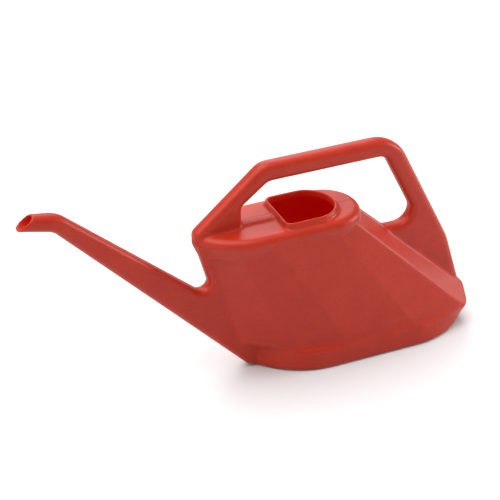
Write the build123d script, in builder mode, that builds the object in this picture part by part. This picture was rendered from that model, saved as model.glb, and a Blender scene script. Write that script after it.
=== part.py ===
from build123d import *
import os
from math import atan2, cos, degrees, radians, sin, sqrt, tan

os.makedirs("parts", exist_ok=True)

# A blow-moulded garden watering can, about two litres, in millimetres.
# The can is one hollow moulding, so its sections are cut from one common skin and
# meet face to face. +Z is up, the spout points along -X, and the mould's parting
# plane is Y = 0. The origin is on the ground under the middle of the full length.

# --- wall -----------------------------------------------------------------------
wall = 2.0                    # plastic thickness

# --- foot: a pointed nose, parallel sides and a blunt heel that leans outwards -------
base_width = 86.0
nose_length = 78.0            # nose point to where the sides run parallel
foot_length = 244.5           # nose point to the heel's corners, at the top of the band
heel_run = 64.5               # length over which the sides close in to those corners
heel_lean = 3.5               # how far the corners stand further forward on the ground
heel_foot_half = 10.0         # half width between the corners on the ground
heel_fullness = 0.26          # bow of the closing sides there, as a share of how far they close
heel_top_half = 25.0          # half width between the corners at the top of the band
heel_top_bow = 1.0            # how far the closing sides bow outwards there
heel_bulge = 3.0              # bow of the heel itself
heel_round = 12.0
band_height = 23.0            # height of the band round the foot
shoulder_height = 5.0         # slope from the band in to the facets
shoulder_run = 5.0
foot_round = 4.0              # rounding under the band
base_recess = 1.5             # hollow under the foot, so that it stands on its edge
base_rim = 9.0                # width of the edge that it stands on

# --- facets of the reservoir --------------------------------------------------------
prow_height = 35.0            # where the undercut below the prow ends
deck_height = 171.0
crease_round = 5.0            # softness of the creases between facets
rim_round = 7.0               # softness of the edge round the deck
ab_foot = 34.0                # crease stations along the foot, from the nose point
bc_foot = 96.0
cd_foot_inset = 69.5          # the rear creases are measured from the heel's corners
de_foot_inset = 4.5
de_foot_half = 29.0
ridge_half = 7.0              # half width of the flat rear ridge
ridge_overhang = 21.5         # where the ridge would end, were it not for the heel
ledge = 1.0                   # creases stand this far inside the band
prow_foot = -12.0             # nose of the prow, at the band's top

# --- deck ---------------------------------------------------------------------------
deck_nose = -62.0             # front corner of the deck, from the nose point
deck_nose_length = 59.5       # front corner to the deck's widest place
deck_width = 75.0
deck_rear = 119.5             # rear edge, where the ramp starts
rim_depth = 8.5               # height of the rim round the deck
flare_height = 15.0           # slope below the rim, which shows under the front
flare_angle = 20.0
ab_head = -29.0               # crease stations at the deck
bc_head = 7.0
cd_head = 71.0
de_head = 95.0
ridge_head = 108.6
prow_head = -50.0
ab_head_inset = 7.5           # how far inside the deck's half width each crease ends
bc_head_inset = 1.0
cd_head_inset = 2.9
de_head_inset = 7.5

# --- filler mouth -------------------------------------------------------------------
mouth_front = 30.7            # straight front edge, from the nose point
mouth_width = 54.0
mouth_straight = 33.0         # length of the straight sides
mouth_corner = 5.0
lip_thickness = 2.6
lip_height = 6.5              # above the deck
lip_flare = 14.0              # degrees that the collar spreads towards the deck
lip_bevel = 0.8               # bevel on both edges of the lip

# --- handle, web and keel: one rounded rib on the parting plane ------------------------
rib_thickness = 18.0
rib_round = 7.0
grip_depth = 20.0             # height of the grip's section
hand_room = 44.5              # clear height between deck and grip
front_leg_rise = 0.7          # the leg's foot stands this far above the deck
front_leg_top = 11.7          # station where leg and grip would meet outside
front_bend_round = 20.0
front_leg_taper = 3.0         # degrees that the leg gets thinner towards its foot
front_inner_round = 10.0
rear_corner_inset = 84.8      # rear outer corner, measured from the heel's corners
rear_bend_round = 42.0
rear_inner_round = 12.0
rear_leg_depth = 20.3
knee_inset = 19.3             # where the rear web turns down to the heel
knee_height = 103.0
knee_round = 60.0
web_drop = 39.5               # deck down to the floor of the hand hole behind the ramp
web_inner_round = 15.0
hole_front = -10.0            # station of the hand hole's upright front end
hole_front_round = 3.0
web_overhang = 0.5            # how far the rear web ends behind the heel's edge
web_foot_height = 36.0
ridge_height = 2.0            # low ridge between handle foot and filler
keel_corner_round = 9.0

# --- spout ---------------------------------------------------------------------------
spout_root_depth = 33.2       # height of the flat root section
spout_root_x = -71.5          # centre of the root section, from the nose point
spout_root_z = 98.0
spout_angle = 43.8            # above the level
spout_taper = 5.0             # degrees between its top and bottom lines
spout_neck_depth = 18.0       # section at the bend
spout_neck_width = 16.4
neck_round = 7.4
bend_x = -199.0               # where the axes of spout and tip cross
bend_z = 219.6
bend_radius = 25.0
tip_angle = 11.0              # the tip still rises a little
tip_diameter = 14.4
tip_round = 6.4
tip_reach = 237.8             # nose point to the end of the lower lip
tip_cut_angle = 37.0          # slope of the oblique outlet
keel_foot_x = -38.8           # where spout top and keel would meet
keel_foot_z = 91.0
keel_foot_round = 7.5

# --- cuts between the sections -------------------------------------------------------
pan_split = 24.0              # height between base pan and walls
keel_split = 27.0             # keel's foot up to the cut between spout root and keel
foot_split = 8.0              # deck down to the cut between keel and handle
grip_front_split = 34.0       # stations of the grip's two ends
grip_rear_split = 126.0

# --- derived places ------------------------------------------------------------------
half_base = base_width / 2
half_deck = deck_width / 2
half_rib = rib_thickness / 2
heel_start = foot_length - heel_run
heel_foot = foot_length - heel_lean
heel_foot_bow = heel_fullness * (half_base - heel_foot_half)
grip_top = deck_height + hand_room + grip_depth
web_foot = foot_length + web_overhang
web_top = deck_height - web_drop
nose_x = (tip_reach - foot_length - heel_bulge) / 2
ground = Plane(origin=(nose_x, 0, 0))
side = Plane(origin=(nose_x, 0, 0), x_dir=(1, 0, 0), z_dir=(0, -1, 0))


def ogive_radius(length, half):
    """Radius of the arc from a point on the middle line to a tangent side line."""
    return (length**2 + half**2) / (2 * half)


nose_radius = ogive_radius(nose_length, half_base)
nose_offset = nose_radius - half_base


def nose_half_width(station):
    """Half width of the foot at a station within its pointed nose."""
    return sqrt(nose_radius**2 - (nose_length - station) ** 2) - nose_offset


def nose_station(half_width):
    """Station where the pointed nose has a half width."""
    return nose_length - sqrt(nose_radius**2 - (half_width + nose_offset) ** 2)


def blend(low, high, share):
    return low + (high - low) * share


# Each crease is a straight line from the band to the deck: (station, half width).
crease_feet = [
    (prow_foot, half_rib),
    (ab_foot, nose_half_width(ab_foot) - ledge),
    (bc_foot, half_base - ledge),
    (foot_length - cd_foot_inset, half_base - ledge),
    (foot_length - de_foot_inset, de_foot_half),
    (foot_length + ridge_overhang, ridge_half),
]
crease_heads = [
    (prow_head, half_rib),
    (ab_head, half_deck - ab_head_inset),
    (bc_head, half_deck - bc_head_inset),
    (cd_head, half_deck - cd_head_inset),
    (de_head, half_deck - de_head_inset),
    (ridge_head, ridge_half),
]


def creases_at(height):
    """Where the creases of one side are at a height."""
    share = (height - band_height) / (deck_height - band_height)
    return [
        (blend(foot[0], head[0], share), blend(foot[1], head[1], share))
        for foot, head in zip(crease_feet, crease_heads)
    ]


def ring(corners):
    """Both sides of the body as one closed outline."""
    return corners + [(x, -y) for x, y in reversed(corners)]


band_corners = creases_at(band_height)
band_corners[0] = (nose_station(half_rib), half_rib)
rim_foot = deck_height - rim_depth
body_levels = [
    (band_height, band_corners),
    (prow_height, creases_at(prow_height)),
    (rim_foot, creases_at(rim_foot)),
]

# --- outlines in plan ----------------------------------------------------------------
def foot_outline(height, inset):
    """The foot's outline at a height, moved in by an inset."""
    share = min(height / band_height, 1)
    heel = blend(heel_foot, foot_length, share)
    half = blend(heel_foot_half, heel_top_half, share)
    bow = blend(heel_foot_bow, heel_top_bow, share)
    with BuildSketch(ground.offset(height)) as outline:
        with BuildLine():
            near = Line((nose_length, -half_base), (heel_start, -half_base))
            far = Line((nose_length, half_base), (heel_start, half_base))
            SagittaArc(near @ 1, (heel, -half), -bow)
            SagittaArc(far @ 1, (heel, half), bow)
            ThreePointArc((heel, -half), (heel + heel_bulge, 0), (heel, half))
            TangentArc(near @ 0, (0, 0), tangent=-(near % 0))
            TangentArc(far @ 0, (0, 0), tangent=-(far % 0))
        make_face()
        if inset:
            offset(amount=-inset, mode=Mode.REPLACE)
        fillet(outline.vertices().group_by(Axis.X)[-1], radius=heel_round - inset)
    return outline.sketch


def deck_outline(height):
    """The deck's outline: a pointed nose and a round rear."""
    with BuildSketch(ground.offset(height)) as outline:
        with BuildLine():
            widest = deck_nose + deck_nose_length
            near = Line((widest, -half_deck), (deck_rear - half_deck, -half_deck))
            stern = ThreePointArc(
                near @ 1, (deck_rear, 0), (deck_rear - half_deck, half_deck)
            )
            far = Line(stern @ 1, (widest, half_deck))
            TangentArc(near @ 0, (deck_nose, 0), tangent=-(near % 0))
            TangentArc(far @ 1, (deck_nose, 0), tangent=far % 1)
        make_face()
    return outline.sketch


def mouth_outline(height, growth):
    """The filler's D shape, or one that is larger all round."""
    half = mouth_width / 2
    back = mouth_front + mouth_straight
    with BuildSketch(ground.offset(height)) as outline:
        with BuildLine():
            near = Line((mouth_front, -half), (back, -half))
            bowl = ThreePointArc(near @ 1, (back + half, 0), (back, half))
            Polyline(bowl @ 1, (mouth_front, half), (mouth_front, -half))
        make_face()
        fillet(outline.vertices().group_by(Axis.X)[0], radius=mouth_corner)
        if growth:
            offset(amount=growth, mode=Mode.REPLACE)
    return outline.sketch


# --- the reservoir's outer form and its hollow ----------------------------------------
def foot_block(levels):
    """The foot through some levels, each a height and how far the wall is moved in."""
    with BuildPart() as block:
        for height, inset in levels:
            add(foot_outline(height, inset))
        loft(ruled=True)
    return block.part


def facet_block(levels, inset):
    """The faceted body between levels, with every wall moved in by an inset."""
    with BuildPart() as limit:
        add(foot_outline(band_height, inset))
        with BuildSketch(ground):
            with Locations((heel_start, 0)):
                Rectangle(2 * heel_start, 2 * base_width, align=(Align.MAX, Align.CENTER))
        extrude(amount=deck_height, both=True)
    with BuildPart() as block:
        for height, corners in levels:
            with BuildSketch(ground.offset(height)) as level:
                Polygon(*ring(corners), align=None)
                if inset:
                    offset(amount=-inset, kind=Kind.INTERSECTION, mode=Mode.REPLACE)
                nose = level.vertices().group_by(Axis.X)[0]
                bends = level.vertices().filter_by(lambda v: v not in nose)
                fillet(bends, radius=crease_round)
        loft(ruled=True)
        add(limit.part, mode=Mode.INTERSECT)
    return block.part


foot_levels = [
    (foot_round * (1 - cos(radians(turned))), foot_round * (1 - sin(radians(turned))))
    for turned in (0, 45, 90)
]
foot_levels.append((band_height, 0))
foot_levels.append((band_height + shoulder_height, shoulder_run))
with BuildPart() as foot_form:
    add(foot_block(foot_levels))

with BuildPart() as facet_form:
    add(facet_block(body_levels, 0))

with BuildPart() as deck_form:
    add(deck_outline(deck_height))
    extrude(amount=-rim_depth)
    fillet(deck_form.faces().sort_by(Axis.Z)[-1].edges(), radius=rim_round)
    add(deck_outline(rim_foot))
    extrude(amount=-flare_height, taper=flare_angle)

# --- the rib on the parting plane, seen from the side -----------------------------------
def meet(start, angle, other, other_angle):
    """Where two lines cross, each given by a point and its angle above the level."""
    run, rise = cos(radians(angle)), sin(radians(angle))
    other_run, other_rise = cos(radians(other_angle)), sin(radians(other_angle))
    dx, dz = other[0] - start[0], other[1] - start[1]
    travel = (dx * other_rise - dz * other_run) / (run * other_rise - rise * other_run)
    return start[0] + travel * run, start[1] + travel * rise


def rise_angle(low, high, way=1):
    """The angle above the level of a line that rises to the rear, or for -1 to the front."""
    return degrees(atan2(high[1] - low[1], way * (high[0] - low[0])))


def step(start, angle, distance):
    """A point moved along an angle above the level."""
    return (
        start[0] + distance * cos(radians(angle)),
        start[1] + distance * sin(radians(angle)),
    )


spout_top_angle = spout_angle - spout_taper / 2
spout_floor_angle = spout_angle + spout_taper / 2
root_centre = (spout_root_x, spout_root_z)
root_top = step(root_centre, 90 - spout_angle, spout_root_depth / 2)
root_floor = step(root_centre, 270 - spout_angle, spout_root_depth / 2)
keel_foot = meet(root_top, -spout_top_angle, (keel_foot_x, keel_foot_z), 90)
front_corner = (deck_nose, deck_height + front_leg_rise)
leg_top = (front_leg_top, grip_top)
rear_top = (foot_length - rear_corner_inset, grip_top)
knee = (foot_length - knee_inset, knee_height)
front_leg_angle = rise_angle(front_corner, leg_top)
rear_leg_angle = rise_angle(knee, rear_top, -1)
leg_under = step(leg_top, front_leg_angle - 90, grip_depth)
leg_under_angle = front_leg_angle - front_leg_taper
grip_under = (0, grip_top - grip_depth)
rear_under = step(rear_top, 270 - rear_leg_angle, rear_leg_depth)
ridge_top = deck_height + ridge_height
hidden = 15.0                 # how far the rib's unseen ends run on inside the body
root_overrun = 12.0           # how far the rib runs past the spout's root before it is cut
hollow_bevel = 0.7            # bevel of the hollow's corners, as a share of their radius

rib_corners = [
    (step(root_floor, -spout_floor_angle, -root_overrun), 0),
    (meet(root_floor, -spout_floor_angle, (0, wall), 0), 0),
    ((web_foot - foot_round, wall), 0),
    ((web_foot, web_foot_height), 0),
    (knee, knee_round),
    (rear_top, rear_bend_round),
    (leg_top, front_bend_round),
    (front_corner, keel_corner_round),
    (keel_foot, keel_foot_round),
    (step(root_top, -spout_top_angle, -root_overrun), 0),
]
hand_hole_corners = [
    ((hole_front, ridge_top), hole_front_round),
    (meet(leg_under, leg_under_angle, (hole_front, 0), 90), hole_front_round),
    (meet(leg_under, leg_under_angle, grip_under, 0), front_inner_round),
    (meet(rear_under, -rear_leg_angle, grip_under, 0), rear_inner_round),
    (meet(rear_under, -rear_leg_angle, (0, web_top), 0), web_inner_round),
    ((deck_rear, web_top), 0),
    ((mouth_front, deck_height - hidden), 0),
    ((mouth_front, ridge_top), 0),
]


def rib_block(inset):
    """The rib, or its hollow when every wall is moved in by an inset.

    The outside is rounded. The hollow's corners are bevelled, which leaves the wall
    nearly even.
    """
    with BuildPart() as block:
        with BuildSketch(side):
            for corners, mode in ((rib_corners, Mode.ADD), (hand_hole_corners, Mode.SUBTRACT)):
                with BuildLine():
                    points = [point for point, radius in corners]
                    rounds = [radius for point, radius in corners]
                    FilletPolyline(*points, radius=rounds, close=True)
                make_face(mode=mode)
            if inset:
                offset(amount=-inset, kind=Kind.INTERSECTION, mode=Mode.REPLACE)
        extrude(amount=half_rib - inset, both=True)
        flanks = block.faces().filter_by(Axis.Y)
        if inset:
            chamfer(flanks.edges(), length=hollow_bevel * (rib_round - inset))
        else:
            fillet(flanks.edges(), radius=rib_round)
    return block.part


# --- spout: a tapering neck, a bend and a level tip -------------------------------------
def across(point, angle):
    """The plane square to a spout axis that rises towards the front at an angle."""
    lean = radians(angle)
    return Plane(
        origin=(nose_x + point[0], 0, point[1]),
        x_dir=(0, 1, 0),
        z_dir=(-cos(lean), 0, sin(lean)),
    )


def section(plane, width, depth, corner):
    """A rounded section of the spout, square to its axis."""
    with BuildSketch(plane) as outline:
        RectangleRounded(width, depth, corner)
    return outline.sketch


turn = spout_angle - tip_angle
bend_corner = (bend_x, bend_z)
bend_reach = bend_radius * tan(radians(turn / 2))
bend_start = step(bend_corner, -spout_angle, bend_reach)
bend_end = step(bend_corner, 180 - tip_angle, bend_reach)
tip_radius = tip_diameter / 2
tip_run = (tip_reach + bend_end[0]) / cos(radians(tip_angle)) + tip_diameter
tip_far = step(bend_end, 180 - tip_angle, tip_run)
under_start = step(bend_end, 270 - tip_angle, spout_neck_depth / 2)
under_far = step(tip_far, 270 - tip_angle, tip_radius)
lip_share = (under_start[0] + tip_reach) / (under_start[0] - under_far[0])
lower_lip = (-tip_reach, blend(under_start[1], under_far[1], lip_share))


def spout_block(inset):
    """Neck, bend and tip in turn, with every wall moved in by an inset."""
    thinner = 2 * inset
    neck = (spout_neck_width - thinner, spout_neck_depth - thinner, neck_round - inset)
    with BuildPart() as tube:
        root = across(root_centre, spout_angle)
        add(section(root, rib_thickness - thinner, spout_root_depth - thinner, rib_round - inset))
        add(section(across(bend_start, spout_angle), *neck))
        loft(ruled=True)
    with BuildPart() as elbow:
        with BuildLine(side):
            RadiusArc(bend_start, bend_end, -bend_radius)
        add(section(across(bend_start, spout_angle), *neck))
        sweep()
    with BuildPart() as tip:
        add(section(across(bend_end, tip_angle), *neck))
        end_size = tip_diameter - thinner
        add(section(across(tip_far, tip_angle), end_size, end_size, tip_round - inset))
        loft(ruled=True)
    return tube.part, elbow.part, tip.part


# --- the whole outside and the whole inside ---------------------------------------------
root_cut = across(root_centre, spout_angle)

with BuildPart() as reservoir_form:
    add(foot_form.part)
    add(facet_form.part)
    add(deck_form.part)

floor_top = base_recess + wall
hollow_top = deck_height - wall
hollow_foot = band_height - wall
hollow_corners = creases_at(hollow_foot)
hollow_corners[0] = (nose_station(half_rib) + 2 * wall, half_rib)
hollow_levels = [
    (hollow_foot, hollow_corners),
    (prow_height + wall, creases_at(prow_height + wall)),
    (hollow_top, creases_at(hollow_top)),
]
with BuildPart() as hollow:
    add(foot_block([(floor_top, wall), (band_height - wall / 2, wall)]))
    add(facet_block(hollow_levels, wall))
    add(mouth_outline(hollow_top - wall, 0))
    extrude(amount=lip_height + 3 * wall)

rib_hollow = rib_block(wall)

with BuildPart() as reservoir_skin:
    add(reservoir_form.part)
    add(foot_outline(0, base_rim))
    extrude(amount=base_recess, mode=Mode.SUBTRACT)
    add(hollow.part, mode=Mode.SUBTRACT)
    add(rib_hollow, mode=Mode.SUBTRACT)

with BuildPart() as rib_skin:
    add(rib_block(0))
    add(reservoir_form.part, mode=Mode.SUBTRACT)
    add(rib_hollow, mode=Mode.SUBTRACT)

# The rear ramp lies between the outermost rear creases, seen in plan.
ramp_start, ramp_end = crease_heads[-2], crease_feet[-2]
overrun = 0.2                 # share of the ramp that its cut runs past each end
ramp_corners = [
    (
        blend(ramp_start[0], ramp_end[0], share),
        blend(ramp_start[1], ramp_end[1], share),
    )
    for share in (-overrun, 1 + overrun)
]
with BuildPart() as ramp_zone:
    with BuildSketch(ground):
        Polygon(*ring(ramp_corners), align=None)
    extrude(amount=deck_height)

# --- the sections, each a solid of its own ------------------------------------------------
pan_cut = ground.offset(pan_split)
deck_cut = ground.offset(rim_foot - flare_height)


def zone(left, right, low, high):
    """A block across the whole rib, between two stations and two heights."""
    with BuildPart() as block:
        with BuildSketch(side):
            Polygon((left, low), (right, low), (right, high), (left, high), align=None)
        extrude(amount=rib_thickness, both=True)
    return block.part


with BuildPart() as base_pan:
    add(reservoir_skin.part)
    split(bisect_by=pan_cut, keep=Keep.BOTTOM)

with BuildPart() as top_deck:
    add(reservoir_skin.part)
    split(bisect_by=deck_cut, keep=Keep.TOP)

with BuildPart() as walls:
    add(reservoir_skin.part)
    split(bisect_by=pan_cut, keep=Keep.TOP)
    split(bisect_by=deck_cut, keep=Keep.BOTTOM)

with BuildPart() as rear_ramp:
    add(walls.part)
    add(ramp_zone.part, mode=Mode.INTERSECT)

with BuildPart() as left_wall:
    add(walls.part)
    add(ramp_zone.part, mode=Mode.SUBTRACT)
    split(bisect_by=Plane.XZ, keep=Keep.TOP)

with BuildPart() as right_wall:
    add(walls.part)
    add(ramp_zone.part, mode=Mode.SUBTRACT)
    split(bisect_by=Plane.XZ, keep=Keep.BOTTOM)

with BuildPart() as filler_collar:
    lip_spread = lip_height * tan(radians(lip_flare))
    add(mouth_outline(deck_height, lip_thickness + lip_spread))
    extrude(amount=lip_height, taper=lip_flare)
    add(mouth_outline(deck_height, 0))
    extrude(amount=lip_height, mode=Mode.SUBTRACT)
    lip_edges = filler_collar.faces().sort_by(Axis.Z)[-1].edges()
    chamfer(lip_edges, length=lip_bevel)

ahead, behind = -tip_reach, foot_length + heel_bulge
keel_cut = keel_foot_z + keel_split
leg_cut = deck_height - foot_split

with BuildPart() as spout_root:
    add(rib_skin.part)
    add(zone(ahead, grip_front_split, 0, keel_cut), mode=Mode.INTERSECT)
    split(bisect_by=root_cut, keep=Keep.BOTTOM)

with BuildPart() as front_keel:
    add(rib_skin.part)
    add(zone(ahead, grip_front_split, keel_cut, leg_cut), mode=Mode.INTERSECT)

with BuildPart() as handle_front:
    add(rib_skin.part)
    add(zone(ahead, grip_front_split, leg_cut, grip_top), mode=Mode.INTERSECT)
    add(filler_collar.part, mode=Mode.SUBTRACT)

with BuildPart() as handle_grip:
    add(rib_skin.part)
    grip_zone = zone(grip_front_split, grip_rear_split, deck_height, grip_top)
    add(grip_zone, mode=Mode.INTERSECT)

with BuildPart() as handle_rear:
    add(rib_skin.part)
    add(zone(grip_rear_split, behind, 0, grip_top), mode=Mode.INTERSECT)

neck_solid, elbow_solid, tip_solid = spout_block(0)
neck_bore, elbow_bore, tip_bore = spout_block(wall)

with BuildPart() as spout_neck:
    add(neck_solid)
    add(neck_bore, mode=Mode.SUBTRACT)

with BuildPart() as elbow:
    add(elbow_solid)
    add(elbow_bore, mode=Mode.SUBTRACT)

with BuildPart() as spout_tip:
    add(tip_solid)
    add(tip_bore, mode=Mode.SUBTRACT)
    split(bisect_by=across(lower_lip, 90 - tip_cut_angle), keep=Keep.BOTTOM)
    add(elbow.part)

sections = {
    "base_pan": base_pan,
    "left_wall": left_wall,
    "right_wall": right_wall,
    "rear_ramp": rear_ramp,
    "top_deck": top_deck,
    "filler_collar": filler_collar,
    "front_keel": front_keel,
    "handle_front": handle_front,
    "handle_grip": handle_grip,
    "handle_rear": handle_rear,
    "spout_root": spout_root,
    "spout_neck": spout_neck,
    "spout_tip": spout_tip,
}
for name, section_part in sections.items():
    section_part.part.label = name
    export_step(section_part.part, f"parts/{name}.step")
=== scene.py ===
# %% [markdown]
# # A red garden watering can
#
# The can is taken to be one blow-moulded piece. A soft tube of hot polyethylene is
# caught between two steel halves and blown against them, so reservoir, spout and
# handle are one hollow skin, every edge comes out softly rounded, and a fine seam is
# left where the halves meet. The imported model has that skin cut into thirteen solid
# sections. This script dresses each section, and gives them back the flow of one
# moulding.

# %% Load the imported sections
import itertools
import math

import bmesh
import bpy
import numpy as np
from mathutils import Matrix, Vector
from mathutils.bvhtree import BVHTree


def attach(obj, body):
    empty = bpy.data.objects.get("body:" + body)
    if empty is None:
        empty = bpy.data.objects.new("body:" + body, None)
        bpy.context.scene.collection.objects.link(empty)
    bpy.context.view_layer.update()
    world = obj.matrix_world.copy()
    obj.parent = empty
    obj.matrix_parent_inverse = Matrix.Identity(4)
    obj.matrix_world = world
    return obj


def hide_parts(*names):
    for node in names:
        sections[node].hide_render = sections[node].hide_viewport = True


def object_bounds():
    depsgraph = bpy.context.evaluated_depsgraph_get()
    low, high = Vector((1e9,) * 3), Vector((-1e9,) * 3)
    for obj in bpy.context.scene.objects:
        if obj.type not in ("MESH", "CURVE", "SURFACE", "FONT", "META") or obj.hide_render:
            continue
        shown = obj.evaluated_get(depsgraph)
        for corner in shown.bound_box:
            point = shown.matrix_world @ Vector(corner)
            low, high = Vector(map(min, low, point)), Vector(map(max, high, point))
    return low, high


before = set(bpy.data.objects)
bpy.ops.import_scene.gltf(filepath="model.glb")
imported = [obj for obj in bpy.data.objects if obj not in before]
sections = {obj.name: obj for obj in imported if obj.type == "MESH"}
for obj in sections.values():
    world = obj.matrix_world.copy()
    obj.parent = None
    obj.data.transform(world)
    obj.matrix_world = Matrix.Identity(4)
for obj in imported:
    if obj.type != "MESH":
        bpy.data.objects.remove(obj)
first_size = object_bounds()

print("sections:", len(sections))
print("size in mm:", [round(1000 * v) for v in first_size[1] - first_size[0]])

# %% [markdown]
# ## Joining the sections
#
# The thirteen sections touch face to face. To soften the line where the handle's rib
# grows out of the body, both have to be one mesh. Blender's Join would use the
# sections up, and they have to stay as they are. Their own meshes are loose triangles,
# so a copy of each goes into one bmesh instead, and the doubled points are merged.

# %% One mesh from all sections
merge_distance = 1e-6


def placed(name, data):
    """A new object at the origin, linked to the scene."""
    made = bpy.data.objects.new(name, data)
    bpy.context.scene.collection.objects.link(made)
    return made


def joined(name, parts):
    """A new mesh object with copies of several objects' meshes."""
    gathered = bmesh.new()
    for part in parts:
        gathered.from_mesh(part.data)
    bmesh.ops.remove_doubles(gathered, verts=gathered.verts, dist=merge_distance)
    mesh = bpy.data.meshes.new(name)
    gathered.to_mesh(mesh)
    gathered.free()
    return placed(name, mesh)


skin = joined("skin", sections.values())
print("joined points:", len(skin.data.vertices))

# %% [markdown]
# ## One continuous skin
#
# A voxel remesh lays an even grid of small faces over everything that is solid and
# forgets the faces between the sections. Bevels on the sections themselves could not
# do this, because a bevel stops at the edge of its own mesh. A step of the grid is
# half the wall's thickness, so the inside of the wall is kept as well.

# %% Remesh the skin
voxel = 0.001


def apply_all(made):
    """Turns the modifiers' result into the object's plain mesh."""
    depsgraph = bpy.context.evaluated_depsgraph_get()
    mesh = bpy.data.meshes.new_from_object(made.evaluated_get(depsgraph))
    made.modifiers.clear()
    made.data = mesh


remesh = skin.modifiers.new("grid", "REMESH")
remesh.mode = "VOXEL"
remesh.voxel_size = voxel
apply_all(skin)
print("skin faces:", len(skin.data.polygons))

# %% [markdown]
# ## Which section each face belongs to
#
# The skin is cut back into the thirteen sections at the end. Each small face takes
# the section whose surface is nearest to its centre. This is looked up before the
# softening, while the skin still lies close on the sections. A tree of all the
# sections' faces makes the search quick.

# %% Gather the sections' faces
names = sorted(sections)
points, corners, owners = [], [], []
for index, name in enumerate(names):
    mesh = sections[name].data
    first_point = len(points)
    points.extend(v.co.copy() for v in mesh.vertices)
    corners.extend([first_point + k for k in face.vertices] for face in mesh.polygons)
    owners.extend([index] * len(mesh.polygons))
tree = BVHTree.FromPolygons(points, corners)
print("faces in the search tree:", len(corners))


# %% Find each small face's section
def read(items, label, width=1, kind=float):
    """One value, or a row of them, for each of a mesh's points, loops or faces."""
    values = np.empty(width * len(items), dtype=kind)
    items.foreach_get(label, values)
    return values.reshape(-1, width) if width > 1 else values


centres = read(skin.data.polygons, "center", 3)
nearest = np.array([tree.find_nearest(Vector(centre))[2] for centre in centres])
owner = np.array(owners)[nearest]
print({name: int(np.sum(owner == index)) for index, name in enumerate(names)})

# %% [markdown]
# ## Which faces are inside
#
# Red polyethylene lets some light through, so the inside of the can looks a deep red.
# True scattering in thin plastic would be slow, so a weak glow stands in for it, and
# it has to know where the inside is. A face counts as inside if it is closed in: rays
# go out from just off it, over the half of all directions that it looks towards, and
# more than a set share of them meet the can again. One test for each of the sections'
# faces is enough, because the small faces know which one they lie on.

# %% Find the inside
clearance = 0.0003
closed_share = 0.6
steps = itertools.product((-1, 0, 1), repeat=3)
all_ways = [Vector(way).normalized() for way in steps if any(way)]


def closed_in(face_points):
    """The share of rays off a face that meet the can again."""
    first, second, third = face_points[:3]
    facing = (second - first).cross(third - first).normalized()
    start = sum(face_points, Vector()) / len(face_points) + clearance * facing
    ways = [way for way in all_ways if way.dot(facing) > 0]
    met = sum(tree.ray_cast(start, way)[0] is not None for way in ways)
    return met / max(len(ways), 1)


shares = np.array([closed_in([points[k] for k in face]) for face in corners])
inside = (shares > closed_share)[nearest]
print("faces inside:", int(inside.sum()), "of", len(inside))

# %% [markdown]
# ## How soft each edge is
#
# Blown plastic can't follow a sharp corner. Averaging each point with its neighbours
# again and again rounds all edges alike and leaves the flats flat. The thin lips of
# filler and spout would shrink, so they get less of it. The amount is kept on the
# points as an attribute, where a node tree can read it.

# %% How much each point is softened
full_softness = 1.0
lip_softness = {"filler_collar": 0.5, "spout_tip": 0.12}


def keep(mesh, label, domain, values):
    """Stores one number for each point or face under a name."""
    mesh.attributes.new(label, "FLOAT", domain).data.foreach_set("value", values)


loops = read(skin.data.loops, "vertex_index", kind=int)
face_sizes = read(skin.data.polygons, "loop_total", kind=int)
loop_owner = np.repeat(owner, face_sizes)
softness = np.full(len(skin.data.vertices), full_softness)
for name, amount in lip_softness.items():
    softness[loops[loop_owner == names.index(name)]] = amount
keep(skin.data, "softness", "POINT", softness)
keep(skin.data, "inside", "FACE", inside.astype(float))
print("points kept crisper:", int(np.sum(softness < full_softness)))

# %% [markdown]
# ## A tree that softens
#
# Blur Attribute averages any value over neighbouring points. On their positions it
# rounds the edges, which is quicker than a smoothing brush and gives the same result
# each time. On the mark of the inside it gives the glow a soft border at the lips.
# The helpers come first, because a second tree uses them further down.


# %% Make a tree and add nodes to it
def new_tree(name, inputs):
    """A geometry tree with a mesh in, a mesh out and named inputs with defaults."""
    made = bpy.data.node_groups.new(name, "GeometryNodeTree")
    for way in ("INPUT", "OUTPUT"):
        made.interface.new_socket("Geometry", in_out=way, socket_type="NodeSocketGeometry")
    for label, kind, value in inputs:
        socket = made.interface.new_socket(label, in_out="INPUT", socket_type=kind)
        if value is not None:
            socket.default_value = value
    return made, made.nodes.new("NodeGroupInput")


def tree_node(made, kind, settings, inputs):
    """Adds a geometry node: settings first, then the values or links of its sockets."""
    node = made.nodes.new(kind)
    for label, value in settings.items():
        setattr(node, label, value)
    for label, value in inputs.items():
        if isinstance(value, bpy.types.NodeSocket):
            made.links.new(value, node.inputs[label])
        else:
            node.inputs[label].default_value = value
    return node


# %% End a tree and run it on an object
def end_tree(made, entry, geometry):
    """Makes repeats plain geometry, gives it its finish and sends it out of the tree."""
    real = tree_node(made, "GeometryNodeRealizeInstances", {}, {"Geometry": geometry})
    painted = tree_node(made, "GeometryNodeSetMaterial", {}, {
        "Geometry": real.outputs["Geometry"],
        "Material": entry.outputs["Finish"],
    })
    tree_node(made, "NodeGroupOutput", {}, {"Geometry": painted.outputs["Geometry"]})
    print(made.name, "tree:", len(made.nodes), "nodes")


def run_tree(target, made, values):
    """Runs a tree on an object, its inputs set by identifier, and keeps the result."""
    modifier = target.modifiers.new(made.name, "NODES")
    modifier.node_group = made
    for item in made.interface.items_tree:
        if item.in_out == "INPUT" and item.name in values:
            modifier[item.identifier] = values[item.name]
    apply_all(target)


# %% Blur the positions
rounds = 6

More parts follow.
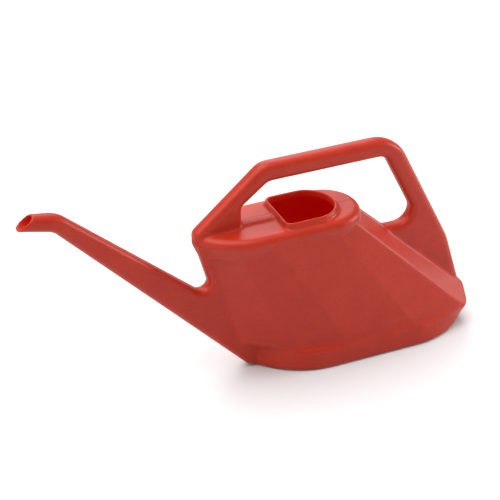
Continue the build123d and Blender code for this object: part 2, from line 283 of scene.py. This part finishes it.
softener, entry = new_tree("soften", [
    ("Rounds", "NodeSocketInt", rounds),
    ("Finish", "NodeSocketMaterial", None),
])
named = "GeometryNodeInputNamedAttribute"
one_number = {"data_type": "FLOAT"}
place = tree_node(softener, "GeometryNodeInputPosition", {}, {})
weight = tree_node(softener, named, one_number, {"Name": "softness"})
blur = tree_node(softener, "GeometryNodeBlurAttribute", {"data_type": "FLOAT_VECTOR"}, {
    "Value": place.outputs["Position"],
    "Iterations": entry.outputs["Rounds"],
    "Weight": weight.outputs["Attribute"],
})
moved = tree_node(softener, "GeometryNodeSetPosition", {}, {
    "Geometry": entry.outputs["Geometry"],
    "Position": blur.outputs["Value"],
})
print("nodes that soften:", len(softener.nodes))

# %% Blur the glow
marked = tree_node(softener, named, one_number, {"Name": "inside"})
glow_blur = tree_node(softener, "GeometryNodeBlurAttribute", one_number, {
    "Value": marked.outputs["Attribute"],
    "Iterations": entry.outputs["Rounds"],
})
glow_settings = {"data_type": "FLOAT", "domain": "POINT"}
glow_kept = tree_node(softener, "GeometryNodeStoreNamedAttribute", glow_settings, {
    "Geometry": moved.outputs["Geometry"],
    "Name": "glow",
    "Value": glow_blur.outputs["Value"],
})
end_tree(softener, entry, glow_kept.outputs["Geometry"])

# %% [markdown]
# ## The red plastic
#
# Polyethylene is waxy: it has a broad, soft shine rather than a mirror's. The colour
# is in the plastic, so it is nearly even, and what the eye sees is the surface: a
# faint grain from the mould, fine level streaks and shallow waves where the hot skin
# cooled. Noise textures on Object coordinates give all three. They work as bump, as
# small changes of roughness and as a slight change of tone.


# %% Shader maths as plain expressions
class Wire:
    """A shader socket that arithmetic works on. Each operator adds a Math node."""

    def __init__(self, tree, socket=None):
        self.tree, self.socket = tree, socket

    def node(self, kind, settings, inputs, output=0):
        """Adds a node: settings first, then the values or links of its sockets."""
        made = self.tree.nodes.new(kind)
        for label, value in settings.items():
            setattr(made, label, value)
        for label, value in inputs.items():
            if isinstance(value, Wire):
                self.tree.links.new(value.socket, made.inputs[label])
            else:
                made.inputs[label].default_value = value
        return Wire(self.tree, made.outputs[output])

    def maths(self, operation, first, second):
        """Adds a Math node."""
        settings = {"operation": operation}
        return self.node("ShaderNodeMath", settings, {0: first, 1: second})

    def __add__(self, other):
        return self.maths("ADD", self, other)

    def __mul__(self, other):
        return self.maths("MULTIPLY", self, other)

    __radd__ = __add__
    __rmul__ = __mul__


# %% Grain, waves and streaks
grain_scale = 620
wave_scale = 45
streak_scales = (60, 60, 420)

plastic = bpy.data.materials.new("red_polyethylene")
plastic.use_nodes = True
graph = Wire(plastic.node_tree)


def noise(where, scale, detail):
    """A noise texture."""
    inputs = {"Vector": where, "Scale": scale, "Detail": detail}
    return graph.node("ShaderNodeTexNoise", {}, inputs)


object_place = graph.node("ShaderNodeTexCoord", {}, {}, output="Object")
streak_inputs = {"Vector": object_place, "Scale": streak_scales}
streak_place = graph.node("ShaderNodeMapping", {}, streak_inputs)
grain = noise(object_place, grain_scale, detail=3)
waves = noise(object_place, wave_scale, detail=2)
streaks = noise(streak_place, scale=1, detail=4)
print("noise textures on", plastic.name)

# %% Colours of the plastic
plastic_red = (0.29, 0.006, 0.001, 1.0)
worn_red = (0.50, 0.034, 0.011, 1.0)
light_through = (0.16, 0.0, 0.0, 1.0)
no_light = (0, 0, 0, 1)
wave_tone, streak_tone, grain_tone = 0.4, 0.25, 0.45
mix_factor, mix_low, mix_high, mix_colour = 0, 6, 7, 2


def colours(share, low, high):
    """A blend of two colours."""
    inputs = {mix_factor: share, mix_low: low, mix_high: high}
    return graph.node("ShaderNodeMix", {"data_type": "RGBA"}, inputs, output=mix_colour)


worn = waves * wave_tone + streaks * streak_tone + grain * grain_tone
tone = colours(worn, plastic_red, worn_red)
glow_attribute = {"attribute_name": "glow"}
within = graph.node("ShaderNodeAttribute", glow_attribute, {}, output="Fac")
through = colours(within, no_light, light_through)
print("reds:", plastic_red[:3], worn_red[:3], "inside:", light_through[:3])

# %% Shine and relief of the plastic
least_roughness, streak_roughness, grain_roughness = 0.30, 0.12, 0.06
wave_height, streak_height, grain_height = 0.7, 0.3, 0.4
bump_strength = 0.5
bump_depth = 0.0009

roughness = least_roughness + streak_roughness * streaks + grain_roughness * grain
height = wave_height * waves + streak_height * streaks + grain_height * grain
bump = graph.node("ShaderNodeBump", {}, {
    "Strength": bump_strength,
    "Distance": bump_depth,
    "Height": height,
})
print("plastic nodes:", len(plastic.node_tree.nodes))

# %% Join it all to the shader
polyethylene_ior = 1.43
shine = 0.35
glow_strength = 1.0

shader = plastic.node_tree.nodes["Principled BSDF"]
shader.inputs["IOR"].default_value = polyethylene_ior
shader.inputs["Specular IOR Level"].default_value = shine
shader.inputs["Emission Strength"].default_value = glow_strength
plastic.node_tree.links.new(tone.socket, shader.inputs["Base Color"])
plastic.node_tree.links.new(roughness.socket, shader.inputs["Roughness"])
plastic.node_tree.links.new(bump.socket, shader.inputs["Normal"])
plastic.node_tree.links.new(through.socket, shader.inputs["Emission Color"])
print("links to the shader:", sum(socket.is_linked for socket in shader.inputs))

# %% Soften the skin
run_tree(skin, softener, {"Rounds": rounds, "Finish": plastic})
skin.data.update()
print("softened:", len(skin.data.vertices), "points")

# %% [markdown]
# ## The line where the mould's halves met
#
# Where two halves of a mould close, a hair of plastic is left. Here that line runs
# round the whole can in the plane between its sides. A line drawn by hand would miss
# the softened surface, so the skin itself is cut at that plane, and the edges of the
# cut are the line. They are sunk a little, so that the bead stands only half out.
# The inside and the foot are left out.

# %% Cut the skin at the plane between the halves
seam_sink = 0.0002
seam_floor = 0.001
most_glow = 0.1
mould_plane = {"plane_co": (0, 0, 0), "plane_no": (0, 1, 0)}

cut = bmesh.new()
cut.from_mesh(skin.data)
glow_layer = cut.verts.layers.float["glow"]
everything = cut.verts[:] + cut.edges[:] + cut.faces[:]
found = bmesh.ops.bisect_plane(cut, geom=everything, **mould_plane)["geom_cut"]
for vert in cut.verts:
    vert.co -= seam_sink * vert.normal


def shows(vert):
    """Whether a point of the cut is on the outside and clear of the floor."""
    return vert[glow_layer] < most_glow and vert.co.z > seam_floor


line = [item for item in found if isinstance(item, bmesh.types.BMEdge)]
line = [edge for edge in line if all(shows(vert) for vert in edge.verts)]
print("edges along the line:", len(line))

# %% Make the line an object of its own
# A set would hold the points in another order at each run, so they go in a dict.
line_points = list(dict.fromkeys(vert for edge in line for vert in edge.verts))
number = {vert: k for k, vert in enumerate(line_points)}
line_edges = [[number[vert] for vert in edge.verts] for edge in line]
seam_mesh = bpy.data.meshes.new("seam")
seam_mesh.from_pydata([vert.co for vert in line_points], line_edges, [])
cut.free()
seam = placed("parting_line", seam_mesh)
print("points along the line:", len(seam_mesh.vertices))

# %% [markdown]
# ## A bead along the line
#
# Mesh to Curve makes the edges a curve, Resample Curve spaces its points evenly, and
# Curve to Mesh runs a small ring along it. A bevelled curve would do as well, but the
# tree's named inputs make the bead's thickness and step easy to change.

# %% A tree that runs a small ring along the line
seam_radius = 0.0004
seam_step = 0.002
ring_corners = 8

bead, entry = new_tree("bead", [
    ("Radius", "NodeSocketFloat", seam_radius),
    ("Step", "NodeSocketFloat", seam_step),
    ("Finish", "NodeSocketMaterial", None),
])
curve = tree_node(bead, "GeometryNodeMeshToCurve", {}, {"Mesh": entry.outputs["Geometry"]})
even = tree_node(bead, "GeometryNodeResampleCurve", {"mode": "LENGTH"}, {
    "Curve": curve.outputs["Curve"],
    "Length": entry.outputs["Step"],
})
ring = tree_node(bead, "GeometryNodeCurvePrimitiveCircle", {}, {
    "Resolution": ring_corners,
    "Radius": entry.outputs["Radius"],
})
tube = tree_node(bead, "GeometryNodeCurveToMesh", {}, {
    "Curve": even.outputs["Curve"],
    "Profile Curve": ring.outputs["Curve"],
    "Fill Caps": True,
})
end_tree(bead, entry, tube.outputs["Mesh"])

# %% Lay the bead, inside the can's overall size
run_tree(seam, bead, {"Radius": seam_radius, "Step": seam_step, "Finish": plastic})
for vert in seam.data.vertices:
    vert.co = np.clip(vert.co, *first_size)
seam.data.shade_smooth()
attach(seam, "root")
print("seam faces:", len(seam.data.polygons))

# %% [markdown]
# ## Back into sections
#
# Each section becomes an object of its own that stands for its solid. Cut apart, the
# pieces would be shaded on their own and the cuts would show as fine lines in the
# shine. So each point keeps the direction that it had on the whole skin.

# %% Read the softened skin
places = read(skin.data.vertices, "co", 3)
directions = read(skin.data.vertices, "normal", 3)
glowing = read(skin.data.attributes["glow"].data, "value")
loops = read(skin.data.loops, "vertex_index", kind=int)
starts = np.concatenate([[0], np.cumsum(face_sizes)])
print("points:", len(places), "faces:", len(face_sizes))


# %% Cut the skin into sections
def dressed(name, index):
    """The part of the skin that belongs to one section, as its own object."""
    mine = np.flatnonzero(owner == index)
    faces = [loops[starts[k]:starts[k + 1]] for k in mine]
    used, flat = np.unique(np.concatenate(faces), return_inverse=True)
    ends = np.cumsum([len(face) for face in faces])[:-1]
    mesh = bpy.data.meshes.new(name)
    mesh.from_pydata(places[used], [], [part.tolist() for part in np.split(flat, ends)])
    mesh.shade_smooth()
    mesh.normals_split_custom_set_from_vertices(directions[used])
    mesh.materials.append(plastic)
    keep(mesh, "glow", "POINT", glowing[used])
    return placed(name, mesh)


for index, name in enumerate(names):
    piece = dressed("moulded_" + name, index)
    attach(piece, "root")
    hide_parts(name)
    print(piece.name, len(piece.data.polygons))
bpy.data.objects.remove(skin)

# %% [markdown]
# ## Floor and light
#
# The can stands on a wide pale floor. Soft plastic shows its form by slow changes of
# tone, so the light is broad. A sun as wide as a ceiling of lamps gives most of it.
# Three softboxes lift the two ends and the back, and an even surround fills the rest.
# One lamp overhead would be simpler, but it leaves the facets hard to tell apart.

# %% Floor
floor_size = 40.0
floor_grey = (0.7, 0.7, 0.7, 1)
floor_roughness = 0.9

half = floor_size / 2
floor_corners = [(-half, -half, 0), (half, -half, 0), (half, half, 0), (-half, half, 0)]
floor_mesh = bpy.data.meshes.new("floor")
floor_mesh.from_pydata(floor_corners, [], [(0, 1, 2, 3)])
floor = placed("floor", floor_mesh)
paper = bpy.data.materials.new("paper")
paper.use_nodes = True
paper_shader = paper.node_tree.nodes["Principled BSDF"]
paper_shader.inputs["Base Color"].default_value = floor_grey
paper_shader.inputs["Roughness"].default_value = floor_roughness
floor_mesh.materials.append(paper)
print("floor:", floor_size, "m wide")

# %% Surround and wide sun
surround_strength = 0.36
sun_width = 70
sun_strength = 3.9
sun_from = Vector((-0.35, 0.15, 1))

world = bpy.data.worlds.new("studio")
world.use_nodes = True
surround = world.node_tree.nodes["Background"]
surround.inputs["Color"].default_value = (1, 1, 1, 1)
surround.inputs["Strength"].default_value = surround_strength
bpy.context.scene.world = world

sky = bpy.data.lights.new("sky", "SUN")
sky.angle = math.radians(sun_width)
sky.energy = sun_strength
overhead = placed("sky", sky)
overhead.rotation_euler = sun_from.to_track_quat("Z", "Y").to_euler()
print("sun:", sun_width, "degrees wide")

# %% Softboxes: place, size and power of each
lamp_aim = Vector((0, 0, 0.1))
softboxes = {
    "left": ((-1.7, -0.9, 0.4), 0.8, 2.5),
    "key": ((1.9, -0.4, 0.6), 0.7, 20),
    "behind": ((0.6, 2.0, 1.4), 1.4, 20),
}
for name, (lamp_place, size, power) in softboxes.items():
    lamp = bpy.data.lights.new(name, "AREA")
    lamp.shape = "SQUARE"
    lamp.size = size
    lamp.energy = power
    made = placed(name, lamp)
    made.location = lamp_place
    made.rotation_euler = (lamp_aim - Vector(lamp_place)).to_track_quat("-Z", "Y").to_euler()
    made.visible_camera = False
print("softboxes:", list(softboxes))

# %% [markdown]
# ## Where the can is seen from
#
# The tip of the spout is nearer than the body. A long lens from 1.8 m off keeps it
# from looking too large, as a short lens close by would make it. The camera looks
# down on the deck, so that the filler's opening shows.

# %% Camera
lens = 129.6
sensor = 36
camera_place = Vector((-0.6173, -1.3978, 1.0923))
camera_aim = Vector((-0.00375, 0, 0.1384))

camera_data = bpy.data.cameras.new("camera")
camera_data.lens = lens
camera_data.sensor_width = sensor
camera = placed("camera", camera_data)
camera.location = camera_place
camera.rotation_euler = (camera_aim - camera_place).to_track_quat("-Z", "Y").to_euler()
bpy.context.scene.camera = camera
bpy.context.scene.view_settings.view_transform = "Standard"
print("camera:", round((camera_aim - camera_place).length, 2), "m away")
